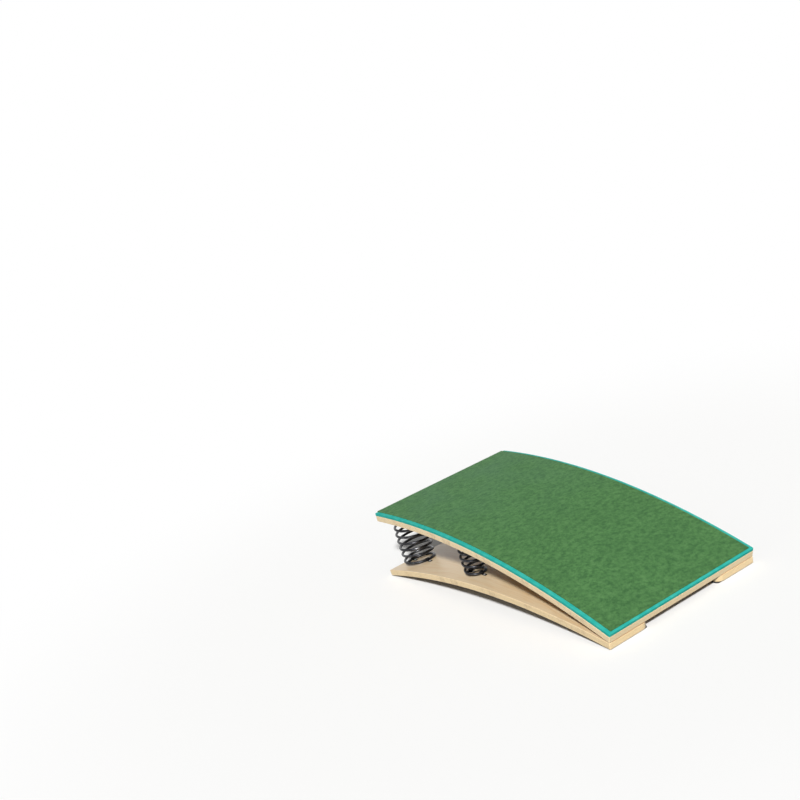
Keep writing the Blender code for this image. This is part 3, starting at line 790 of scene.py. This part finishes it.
def needle_felt(name, body, hollow_shade_and_dark_tone, tip, high_end_grey):
    matt = {"Roughness": 0.95, "IOR": 1.45, "Specular IOR Level": 0.25}
    fuzz = {"Sheen Weight": 0.03, "Sheen Roughness": 0.6}
    material, add, shader = start_material(name, matt | fuzz)
    laid = add("Attribute", {}, "Vector", attribute_name="laid_flat")
    fibres = crimped_fibres(add, laid)
    lumps = {"Vector": laid, "Scale": 1 / LUMP_SIZE, "Detail": 3.0, "Roughness": 0.65}
    lumps = add("TexNoise", lumps)
    patches = stretched_noise(add, laid, PATCH_SIZES, detail=2.0, roughness=0.6, turn=0.12)
    broad = add("TexNoise", {"Vector": laid, "Scale": 1 / (160 * MM), "Detail": 2.0})
    # Painted shade: darker where the lumps are low.
    shade = tint(add, colour(body), hollow_shade_and_dark_tone, lumps, 0.62, 0.34, 0.62)
    # Painted highlight: paler where the fibres stand high.
    shade = tint(add, shade, tip, fibres, 0.52, 0.78, 0.55)
    # Tone that differs at random: darker and paler soft patches, and broad darker places.
    shade = tint(add, shade, hollow_shade_and_dark_tone, patches, 0.5, 0.32, 0.55)
    shade = tint(add, shade, tip, patches, 0.52, 0.68, 0.3)
    shade = tint(add, shade, hollow_shade_and_dark_tone, broad, 0.4, 0.65, 0.15)
    # Paler and greyer from the middle of the board to its high end, in clouds.
    rise = add("MapRange", {0: add("SeparateXYZ", {0: laid}, "X"), 1: 0.5, 2: 1.2, 4: 0.22})
    cloud = add("MapRange", {0: broad, 1: 0.35, 2: 0.6, 3: 0.4, 4: 1.0})
    greying = add("Math", {0: rise, 1: cloud}, operation="MULTIPLY")
    shade = add("Mix", {0: greying, 6: shade, 7: colour(high_end_grey)}, **RGBA)
    height = add("Math", {0: fibres, 1: 0.5, 2: lumps}, operation="MULTIPLY_ADD")
    finish_shader(add, shader, shade, height, 0.8 * MM, 0.8)
    return material


# The second colour is painted shade and darker patches, the third painted highlight and paler
# patches, and the last the greyer high end.
green_felt = needle_felt("green_needle_felt", "#4A7943", "#2D562F", "#649159", "#648A74")
print("felt:", green_felt.name)

# %% Carpet
CARPET_THICKNESS = 3 * MM
CARPET_SIDE_BORDER = 12 * MM
CARPET_LOW_END_BORDER = 8 * MM
CARPET_CELL = 6 * MM
LUMP_HEIGHT = 0.5 * MM
RAGGED = 0.6 * MM
RAGGED_LENGTH = 7 * MM


def needle_felt_sheet(name, bow, start, end, half_width, bottom):
    """A carpet with a lumpy top and a slightly ragged edge, bent onto its bow."""
    work = bmesh.new()
    cells = (round((end - start) / CARPET_CELL), round(2 * half_width / CARPET_CELL))
    size = Matrix.Diagonal(((end - start) / 2, half_width, 1, 1))
    place = Matrix.Translation(((start + end) / 2, 0, 0)) @ size
    bmesh.ops.create_grid(work, x_segments=cells[0], y_segments=cells[1], size=1, matrix=place)
    for vert in work.verts:
        if vert.is_boundary:
            seed = vert.co / RAGGED_LENGTH
            outwards = math.copysign(1, vert.co.x - (start + end) / 2)
            vert.co.x -= RAGGED * abs(noise.noise(seed)) * outwards
            vert.co.y += RAGGED * noise.noise(seed + Vector((31, 0, 0)))
    top = work.verts[:]
    bmesh.ops.extrude_face_region(work, geom=work.faces[:])
    for vert in top:
        lump = noise.fractal(vert.co / LUMP_SIZE, 0.6, 2.0, 3)
        vert.co.z = CARPET_THICKNESS - LUMP_HEIGHT * (0.5 - 0.5 * lump)
    bmesh.ops.recalc_face_normals(work, faces=work.faces)
    for vert in work.verts:
        vert.co = bow.bend(vert.co + Vector((0, 0, bottom)))
    mesh = mesh_from(work, name)
    soften(mesh, 60)
    return add_object(name, mesh)


carpet_bottom = FOAM_TOP + GAP
carpet_half = BOARD_WIDTH / 2 - CARPET_SIDE_BORDER
carpet_ends = (CARPET_LOW_END_BORDER, deck_bow.length)
carpet = needle_felt_sheet("carpet_cover", deck_bow, *carpet_ends, carpet_half, carpet_bottom)
remember_flat(carpet, deck_bow)
carpet.data.materials.append(green_felt)
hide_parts("carpet")
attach(carpet, "deck")

# %% [markdown]
# ## Coil springs
#
# Each spring is wound from 9 mm spring steel wire and has flat end turns, which lie on the
# boards under clips. The rest of the turns are open. The wire is phosphated and oiled: nearly
# black, a little rough, with brighter rubbed spots and a thin wet gloss from the oil. The coil
# is one long curve with a round bevel.

# %% Spring steel


def phosphated_spring_steel(name, body, rubbed, rust):
    oil = {"Coat Weight": 0.35, "Coat Roughness": 0.22, "Coat IOR": 1.47}
    material, add, shader = start_material(name, {"Metallic": 1.0} | oil)
    place = add("TexCoord", {}, "Object")
    blotch = {"Vector": place, "Scale": 1 / (20 * MM), "Detail": 4.0, "Roughness": 0.6}
    blotch = add("TexNoise", blotch)
    speck = add("TexNoise", {"Vector": place, "Scale": 1 / (2.2 * MM), "Detail": 2.0})
    shade = tint(add, colour(body), rubbed, blotch, 0.54, 0.7, 0.7)
    shade = tint(add, shade, rust, speck, 0.66, 0.74, 0.4)
    rough = add("MapRange", {0: blotch, 1: 0.35, 2: 0.7, 3: 0.5, 4: 0.28})
    finish_shader(add, shader, shade, speck, 0.05 * MM, 0.6, Roughness=rough)
    return material


spring_steel = phosphated_spring_steel(
    "phosphated_spring_steel", body="#313236", rubbed="#77787A", rust="#54392B"
)
print("spring steel:", spring_steel.name)

# %% The wire's path
SPRING_BULGE = 4 * MM
TURN_OVER_CLIP = 6.2 * MM
POINTS_A_TURN = 40
SPARE_ANGLE = math.pi / 5
MEAN_WINDOW = np.hanning(9)[1:-1]


def spring_heights(x):
    """The heights of the wire's middle where it lies on the base and under the deck."""
    return base_bow.height(x, PLY + WIRE_LIFT), deck_bow.height(x, -WIRE_LIFT)


def coil_points(x, y, radius, half_turns):
    """The wire's centre line, wound left-handed, from one flat end turn to the other."""
    step = 2 * math.pi / POINTS_A_TURN
    top_turn = (half_turns - 1) * math.pi
    low, high = spring_heights(x)
    lead = (CLIP_HEIGHT - GAP + TURN_OVER_CLIP) / (high - low)
    angles = np.arange(-SPARE_ANGLE, half_turns * math.pi + SPARE_ANGLE + step / 2, step)
    knots = [math.pi, 2 * math.pi, top_turn - math.pi, top_turn]
    shares = np.interp(angles, knots, [0.0, lead, 1 - lead, 1.0])
    # A short running mean rounds the kinks where the rise begins and ends.
    padded = np.pad(shares, len(MEAN_WINDOW) // 2, mode="edge")
    shares = np.convolve(padded, MEAN_WINDOW / MEAN_WINDOW.sum(), mode="valid")
    points = []
    for angle, share in zip(angles, shares):
        reach = radius + SPRING_BULGE * math.sin(math.pi * share)
        px, py = x + reach * math.cos(angle), y - reach * math.sin(angle)
        low, high = spring_heights(px)
        points.append((px, py, low + (high - low) * share))
    return points


print("points in the running mean:", len(MEAN_WINDOW))

# %% Springs


def round_wire(name, points, radius):
    curve = bevelled_curve(name, "3D", points, radius, resolution=3)
    curve.use_fill_caps = True
    mesh = skin_of(curve)
    soften(mesh, 50)
    return add_object(name, mesh)


def make_spring(end_name, side_name):
    x, y = spring_place(end_name, side_name)
    radius = SPRINGS[end_name]["diameter"] / 2 - WIRE_RADIUS
    points = coil_points(x, y, radius, SPRINGS[end_name]["half_turns"])
    coil = round_wire(f"coil_{end_name}_{side_name}", points, WIRE_RADIUS)
    coil.data.materials.append(spring_steel)
    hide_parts(f"spring_{end_name}_{side_name}")
    # The end turns lie on sloping boards. A margin above the base and below the deck is worked
    # out here, but nothing uses it.
    margin = radius * math.sin(abs(base_bow.lean(x)) + 0.03) + WIRE_RADIUS + 2 * MM
    low, high = spring_heights(x)
    low, high = low + margin, high - margin
    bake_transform(coil)
    return points


for end_name in SPRINGS:
    for side_name in SIDES:
        points = make_spring(end_name, side_name)
    length = sum(math.dist(a, b) for a, b in zip(points, points[1:]))
    print(end_name, "spring wire in m:", round(length, 2))

# %% [markdown]
# ## Finishes of the small metal pieces
#
# Clips, screws, bolts, washers and nuts are mass-made steel parts. Black oxide is a thin
# chemical skin that leaves the steel's own dull gloss but turns it nearly black. Bright zinc
# is a plated layer, silvery with slightly cloudy stains from its rinse.

# %% Metal finishes


def coated_steel(name, light, dark, roughness):
    material, add, shader = start_material(name, {"Metallic": 1.0})
    place = add("TexCoord", {}, "Object")
    stain = add("TexNoise", {"Vector": place, "Scale": 1 / (6 * MM), "Detail": 4.0})
    shade = tint(add, colour(light), dark, stain, 0.35, 0.7, 1.0)
    limits = {1: 0.3, 2: 0.7, 3: roughness - 0.08, 4: roughness + 0.14}
    rough = add("MapRange", {0: stain} | limits)
    scratch = add("TexNoise", {"Vector": place, "Scale": 1 / (1.5 * MM), "Detail": 2.0})
    finish_shader(add, shader, shade, scratch, 0.03 * MM, 0.5, Roughness=rough)
    return material


zinc = coated_steel("bright_zinc_plated_steel", "#C9CACB", "#9A9C9E", 0.32)
black_oxide = coated_steel("black_oxide_steel", "#39393C", "#232325", 0.42)
print("finishes:", zinc.name, black_oxide.name)

# %% [markdown]
# ## Spring clips
#
# A clip is a 2 mm steel strap, pressed over a former into an arch for the wire and a foot for
# the screw. Its side view is filled and given the strap's width, with edges rounded as by
# tumbling, and one mesh serves all sixteen places.

# %% Helpers for small pieces
SHARP = 35


def cut_mesh(mesh, cutter):
    """Cuts the cutter out of a mesh that no piece shows yet, and shades it."""
    piece = add_object(mesh.name, mesh)
    cut_away(piece, cutter)
    mesh = piece.data
    bpy.data.objects.remove(piece)
    soften(mesh, SHARP)
    return mesh


def add_placed(name, mesh, place, material, node_name, body):
    """A copy of a mesh, set where its solid is, which it replaces."""
    own = mesh.copy()
    own.name = name
    own.transform(place)
    own.materials.append(material)
    piece = add_object(name, own)
    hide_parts(node_name)
    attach(piece, body)
    return piece


print("edges are sharp above degrees:", SHARP)

# %% Clips
CLIP_WIDTH = 10 * MM
CLIP_ROUNDING = 0.3 * MM
CLIP_BEND = 1.2 * MM
CLIP_STEPS = 20


def clip_outline():
    """The strap's side view as X and height above the board, with its foot towards -X."""
    half, rise = CLIP_HALF_OPENING + CLIP_THICKNESS, CLIP_RISE + CLIP_THICKNESS
    arch = arc_points((0, 0), 1.0, math.pi, 0.0, CLIP_STEPS)
    inner = [(CLIP_HALF_OPENING * x, WIRE_LIFT + CLIP_RISE * z) for x, z in arch]
    outer = [(half * x, WIRE_LIFT + rise * z) for x, z in reversed(arch)]
    foot = GAP + CLIP_THICKNESS
    # A small arc rounds the bend between the outer side of the arch and the top of the foot.
    centre = (-half - CLIP_BEND, foot + CLIP_BEND)
    heel = arc_points(centre, CLIP_BEND, 0.0, -math.pi / 2, 4)
    toe = [(-half - CLIP_FOOT, foot), (-half - CLIP_FOOT, GAP), (-CLIP_HALF_OPENING, GAP)]
    return heel + toe + inner + [(CLIP_HALF_OPENING, GAP), (half, GAP)] + outer


strap = filled_plate("strap_clip", clip_outline(), CLIP_WIDTH, CLIP_ROUNDING)
strap.transform(Matrix.Rotation(math.pi / 2, 4, "X"))
strap = cut_mesh(strap, drills(PILOT_HOLE, [to_screw]))
for board, frames in clip_frames.items():
    for name, place in frames.items():
        clip = add_placed("strap_clip_" + name, strap, place, black_oxide, "clip_" + name, board)
print("triangles in a clip:", count_triangles(strap))

# %% [markdown]
# ## Screws
#
# Each clip is held by one zinc-plated wood screw with a low pan head and a cross recess. The
# head is turned, and the recess is cut with a small cross, a little narrower than the head.

# %% Screws
SCREW_RADIUS = 2.1 * MM
SCREW_ROOT_RADIUS = 1.5 * MM
SCREW_PITCH = 1.8 * MM
SCREW_LENGTH = 16 * MM
SCREW_HEAD_RADIUS = 4.5 * MM
SCREW_HEAD_HEIGHT = 2.6 * MM
SCREW_RIM = 0.8 * MM
SCREW_SEAT = CLIP_THICKNESS + 2 * GAP


def screw_profile():
    tip = SCREW_SEAT - SCREW_LENGTH
    rim, dome = SCREW_SEAT + SCREW_RIM, SCREW_HEAD_HEIGHT - SCREW_RIM
    arch = arc_points((0, 0), 1.0, math.pi / 2, 0.0, 8)
    head = [(SCREW_HEAD_RADIUS * x, rim + dome * z) for x, z in arch]
    shank = [(SCREW_HEAD_RADIUS, SCREW_SEAT), (SCREW_RADIUS, SCREW_SEAT)]
    # The thread is drawn as plain ridges, as far apart as on a real wood screw.
    ridge = ((SCREW_ROOT_RADIUS, 0), (SCREW_RADIUS, 0.5 * MM), (SCREW_ROOT_RADIUS, 1 * MM))
    ridges = np.arange(SCREW_SEAT - 5 * MM, tip + 4 * MM, -SCREW_PITCH)
    thread = [(radius, z - below) for z in ridges for radius, below in ridge]
    return head + shank + thread + [(1.4 * MM, tip + 3 * MM), (0, tip)]


def cross_recess():
    arm, half = 2.3 * MM, 0.45 * MM
    corners = [(arm, half), (half, half), (half, arm)]
    outline = []
    for quarter in range(4):
        turn = Matrix.Rotation(quarter * math.pi / 2, 2)
        outline += [tuple(turn @ Vector(corner)) for corner in corners]
    cross = filled_plate("cross", outline, 3 * MM, 0.0)
    cross.transform(Matrix.Translation((0, 0, SCREW_SEAT + SCREW_HEAD_HEIGHT)))
    return add_object("cross", cross)


screw_mesh = cut_mesh(turned("wood_screw", screw_profile(), 24), cross_recess())
for board, frames in clip_frames.items():
    for name, place in frames.items():
        place = place @ to_screw
        screw = add_placed("wood_screw_" + name, screw_mesh, place, zinc, "screw_" + name, board)
print("triangles in a screw:", count_triangles(screw_mesh))

# %% [markdown]
# ## Bolts, washers and nuts
#
# Four coach bolts hold the low end together. Their domed heads sit under the base and their
# threaded ends stand in the deck's recesses. The bolts are turned anew, with a round dome and a
# thread of plain ridges at 1.25 mm. Washers and nuts keep their solids, whose shape is right
# already: each is welded into one skin and gets narrow rounded edges.

# %% Bolts, washers and nuts
BOLT_HEAD_RADIUS = 10 * MM
BOLT_RIM = 0.6 * MM
THREAD_ROOT_RADIUS = 3.4 * MM
THREAD_PITCH = 1.25 * MM


def bolt_profile():
    bottom, top = reach_on_bolt("coach_bolt_left_outer")
    rim = -GAP - BOLT_RIM
    arch = arc_points((0, 0), 1.0, 0.0, -math.pi / 2, 10)
    head = [(BOLT_HEAD_RADIUS * x, rim + (rim - bottom) * z) for x, z in arch]
    profile = [(0, top), (THREAD_ROOT_RADIUS, top)]
    for z in np.arange(top - 0.4 * MM, top - 16 * MM, -THREAD_PITCH):
        profile += [(BOLT_RADIUS, z), (BOLT_RADIUS, z - 0.15 * MM)]
        profile += [(THREAD_ROOT_RADIUS, z - 0.7 * MM)]
    shank = [(BOLT_RADIUS, top - 17 * MM), (BOLT_RADIUS, -GAP), (BOLT_HEAD_RADIUS, -GAP)]
    return profile + shank + head


def finish_solid(name, material, rounding):
    """Gives a carried-over solid its material and rounded edges."""
    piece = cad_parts[name]
    piece.data.materials.clear()
    piece.data.materials.append(material)
    weld = piece.modifiers.new("weld", "WELD")
    weld.merge_threshold = WELD
    bevel = piece.modifiers.new("rounding", "BEVEL")
    bevel.width = rounding
    bevel.segments = 2
    bevel.limit_method = "ANGLE"
    bevel.angle_limit = math.radians(40)
    bevel.harden_normals = True
    for face in piece.data.polygons:
        face.use_smooth = True


bolt_mesh = turned("coach_bolt", bolt_profile())
soften(bolt_mesh, SHARP)
for name, place in bolt_frames.items():
    node_name = "coach_bolt_" + name
    bolt = add_placed("domed_" + node_name, bolt_mesh, place, zinc, node_name, "base")
    finish_solid("washer_" + name, zinc, 0.2 * MM)
    finish_solid("lock_nut_" + name, zinc, 0.3 * MM)
print("triangles in a bolt:", count_triangles(bolt_mesh))

# %% [markdown]
# ## Packing wedges and rubber feet
#
# The wedges between the boards are planed beech, with short pinkish flecks in straight grain.
# The feet are moulded rubber: deep grey rather than black, matt, and dusty where they touch the
# floor. Fine grooves across the sole help them to grip. They are cut into copies of the feet's
# solids.

# %% Beech and rubber


def planed_beech(name, early, late):
    material, add, shader = start_material(name, {"Roughness": 0.6, "IOR": 1.5})
    grain = stretched_noise(add, add("TexCoord", {}, "Object"), (3, 80, 3), detail=3.0)
    shade = tint(add, colour(early), late, grain, 0.35, 0.7, 1.0)
    finish_shader(add, shader, shade, grain, 0.2 * MM, 0.5)
    return material


def moulded_rubber(name, body, dusty):
    material, add, shader = start_material(name, {"Roughness": 0.8, "IOR": 1.52})
    place = add("TexCoord", {}, "Object")
    greying = add("TexNoise", {"Vector": place, "Scale": 1 / (12 * MM), "Detail": 4.0})
    shade = tint(add, colour(body), dusty, greying, 0.45, 0.75, 0.6)
    grit = add("TexNoise", {"Vector": place, "Scale": 1 / (1.5 * MM), "Detail": 2.0})
    finish_shader(add, shader, shade, grit, 0.1 * MM, 0.6)
    return material


beech = planed_beech("planed_beech", "#CFA477", "#A97B50")
rubber = moulded_rubber("moulded_rubber", "#262626", "#5A5752")
for side_name in SIDES:
    finish_solid("wedge_" + side_name, beech, 0.3 * MM)
print("materials:", len(bpy.data.materials))

# %% Rubber feet
GROOVE_WIDTH = 1.5 * MM
GROOVE_DEPTH = 1 * MM
GROOVE_PITCH = 4 * MM
FOOT_ROUNDING = 0.8 * MM


def groove_cutter(low, high):
    """Bars that run across a foot, under its sole."""
    work = bmesh.new()
    for x in np.arange(low.x + GROOVE_PITCH, high.x - GROOVE_PITCH / 2, GROOVE_PITCH):
        size = Matrix.Diagonal((GROOVE_WIDTH, high.y - low.y + 4 * MM, 2 * GROOVE_DEPTH, 1))
        place = Matrix.Translation((x, (low.y + high.y) / 2, low.z))
        bmesh.ops.create_cube(work, size=1.0, matrix=place @ size)
    return add_object("grooves", mesh_from(work, "grooves"))


def grooved_foot(name, node_name):
    foot = add_object(name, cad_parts[node_name].data.copy())
    foot.data.materials.clear()
    work = bmesh.new()
    work.from_mesh(foot.data)
    bmesh.ops.remove_doubles(work, verts=work.verts, dist=WELD)
    limit = math.radians(40)
    sharp = [e for e in work.edges if e.is_manifold and e.calc_face_angle() > limit]
    rounding = {"offset": FOOT_ROUNDING, "segments": 2, "profile": 0.5, "affect": "EDGES"}
    bmesh.ops.bevel(work, geom=sharp, **rounding)
    work.to_mesh(foot.data)
    work.free()
    cut_away(foot, groove_cutter(*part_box(node_name)))
    soften(foot.data, SHARP)
    foot.data.materials.append(rubber)
    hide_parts(node_name)
    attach(foot, "base")
    return foot


for place_name in ("low_left", "low_right", "high"):
    foot = grooved_foot("grooved_foot_" + place_name, "rubber_foot_" + place_name)
    print(foot.name, "triangles:", count_triangles(foot.data))

# %% [markdown]
# ## The studio
#
# The floor is a pale sheet that fades into a white room. One soft lamp, far away by the low end,
# lights the top and the front of the base, and a weak white sky fills the rest. To the eye and
# in reflections the floor is nearly white, but it throws back only as much light as a mid-grey
# floor, so the space between the boards stays as dark as it is in a real room.

# %% Floor
FLOOR_RADIUS = 12.0


def seen_directly(add):
    """One for what the camera sees, also by reflection or through glass, and else zero."""
    rays = add("LightPath", {}).node.outputs
    seen = rays["Is Camera Ray"]
    for kind in ("Is Glossy Ray", "Is Transmission Ray"):
        seen = add("Math", {0: seen, 1: rays[kind]}, operation="MAXIMUM")
    return seen


def pale_floor(thrown_back, shown):
    material, add, shader = start_material("pale_floor", {"Roughness": 0.9})
    seen = seen_directly(add)
    shade = add("Mix", {0: seen, 6: colour(thrown_back), 7: colour(shown)}, **RGBA)
    feed(shader, {"Base Color": shade})
    # From 1 m to 2.6 m away it fades to the white of the room.
    place = add("TexCoord", {}, "Object")
    distance = add("VectorMath", {0: place}, "Value", operation="LENGTH")
    far = add("MapRange", {0: distance, 1: 1.0, 2: 2.6}, **SOFT)
    share = add("Math", {0: far, 1: seen}, operation="MULTIPLY")
    white = add("Emission", {0: (1, 1, 1, 1), 1: 1.0})
    mixed = add("MixShader", {0: share, 1: shader.outputs[0], 2: white})
    feed(material.node_tree.nodes["Material Output"], {"Surface": mixed})
    return material


work = bmesh.new()
bmesh.ops.create_circle(work, cap_ends=True, segments=96, radius=FLOOR_RADIUS)
floor = add_object("floor", mesh_from(work, "floor"))
floor.data.materials.append(pale_floor("#757575", "#FAFAF9"))
floor.location.z = -0.2 * MM
print("floor radius in m:", FLOOR_RADIUS)

# %% Room and lamp
LAMP_DISTANCE = 4.0


def white_room(level):
    """A weak white sky for the lighting, and plain white for the eye and for reflections."""
    world = bpy.data.worlds.new("white_room")
    bpy.context.scene.world = world
    world.use_nodes = True
    add = partial(add_node, world.node_tree)
    strength = add("MapRange", {0: seen_directly(add), 3: level, 4: 1.0})
    feed(world.node_tree.nodes["Background"], {"Color": (1, 1, 1, 1), "Strength": strength})


def soft_lamp(name, azimuth, elevation, softness, share):
    """A distant lamp. Share is the light that it gives on a surface facing it."""
    data = bpy.data.lights.new(name, "SUN")
    data.angle = math.radians(softness)
    data.energy = share * math.pi
    lamp = add_object(name, data)
    a, e = math.radians(azimuth), math.radians(elevation)
    towards = Vector((math.cos(a) * math.cos(e), math.sin(a) * math.cos(e), math.sin(e)))
    lamp.location = towards * LAMP_DISTANCE
    lamp.rotation_mode = "QUATERNION"
    lamp.rotation_quaternion = lamp.location.to_track_quat("Z", "Y")


white_room(0.16)
soft_lamp("low_end_lamp", azimuth=145, elevation=37.5, softness=6, share=1.36)
bpy.context.scene.view_settings.view_transform = "Standard"
